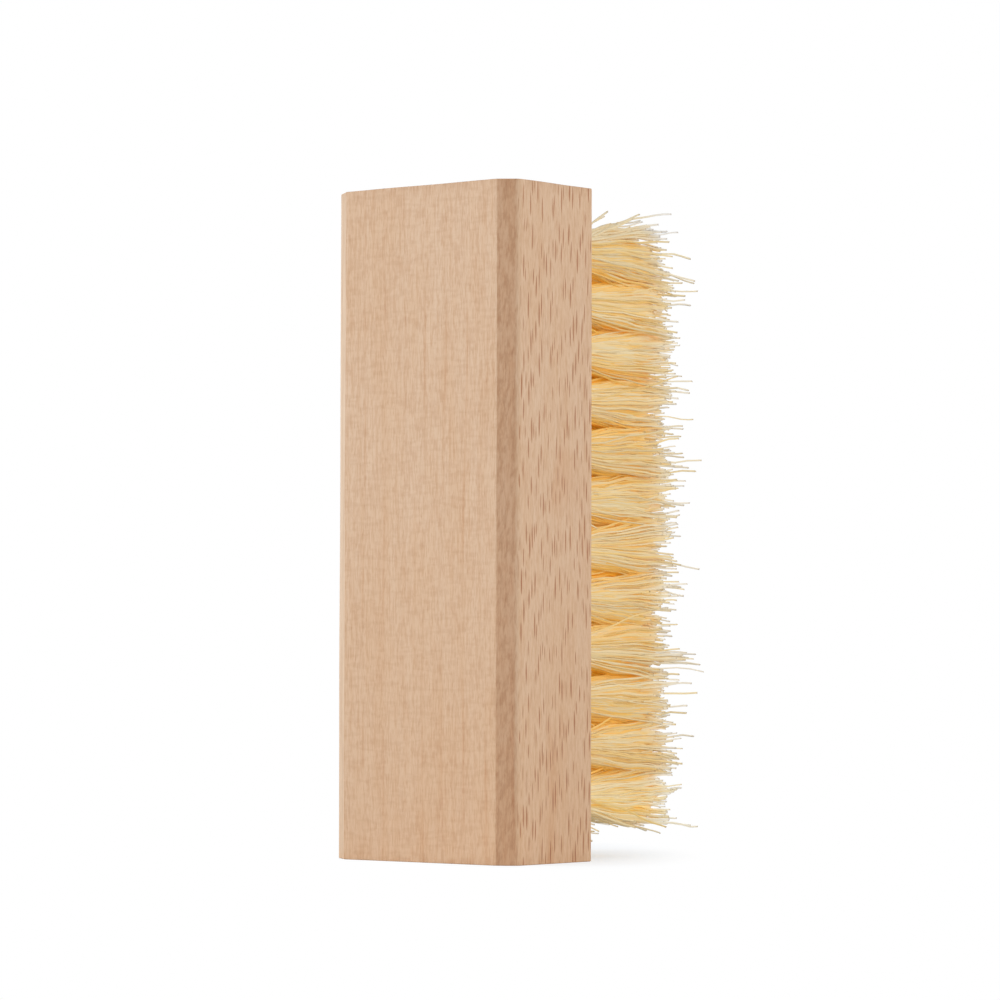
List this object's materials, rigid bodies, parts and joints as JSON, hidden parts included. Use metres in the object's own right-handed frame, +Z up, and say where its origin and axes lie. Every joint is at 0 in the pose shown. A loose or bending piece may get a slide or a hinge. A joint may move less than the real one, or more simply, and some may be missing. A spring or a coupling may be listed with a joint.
{
  "type": "shoe brush",
  "caption": "Hand scrubbing brush for shoes: a plain chamfered beech block with a grid of stiff plant fibre tufts, standing on its end.",
  "frame": {"origin": "centre of the lower end face of the block, on the surface it stands on", "axes": "+Z up along the block's length, +X across its width, +Y out of the bristle face, so the plain back faces -Y"},
  "size_m": [0.045, 0.0545, 0.13],
  "materials": {
    "beech": "bare sanded beech, matt",
    "plant_fibre": "cream plant fibre, satin"
  },
  "bodies": {
    "root": {"wood_block": "beech", "tuft_row1_01": "plant_fibre", "tuft_row1_02": "plant_fibre", "tuft_row1_03": "plant_fibre", "tuft_row1_04": "plant_fibre", "tuft_row1_05": "plant_fibre", "tuft_row1_06": "plant_fibre", "tuft_row1_07": "plant_fibre", "tuft_row1_08": "plant_fibre", "tuft_row1_09": "plant_fibre", "tuft_row1_10": "plant_fibre", "tuft_row1_11": "plant_fibre", "tuft_row1_12": "plant_fibre", "tuft_row2_01": "plant_fibre", "tuft_row2_02": "plant_fibre", "tuft_row2_03": "plant_fibre", "tuft_row2_04": "plant_fibre", "tuft_row2_05": "plant_fibre", "tuft_row2_06": "plant_fibre", "tuft_row2_07": "plant_fibre", "tuft_row2_08": "plant_fibre", "tuft_row2_09": "plant_fibre", "tuft_row2_10": "plant_fibre", "tuft_row2_11": "plant_fibre", "tuft_row2_12": "plant_fibre", "tuft_row3_01": "plant_fibre", "tuft_row3_02": "plant_fibre", "tuft_row3_03": "plant_fibre", "tuft_row3_04": "plant_fibre", "tuft_row3_05": "plant_fibre", "tuft_row3_06": "plant_fibre", "tuft_row3_07": "plant_fibre", "tuft_row3_08": "plant_fibre", "tuft_row3_09": "plant_fibre", "tuft_row3_10": "plant_fibre", "tuft_row3_11": "plant_fibre", "tuft_row3_12": "plant_fibre", "tuft_row4_01": "plant_fibre", "tuft_row4_02": "plant_fibre", "tuft_row4_03": "plant_fibre", "tuft_row4_04": "plant_fibre", "tuft_row4_05": "plant_fibre", "tuft_row4_06": "plant_fibre", "tuft_row4_07": "plant_fibre", "tuft_row4_08": "plant_fibre", "tuft_row4_09": "plant_fibre", "tuft_row4_10": "plant_fibre", "tuft_row4_11": "plant_fibre", "tuft_row4_12": "plant_fibre"}
  },
  "joints": []
}
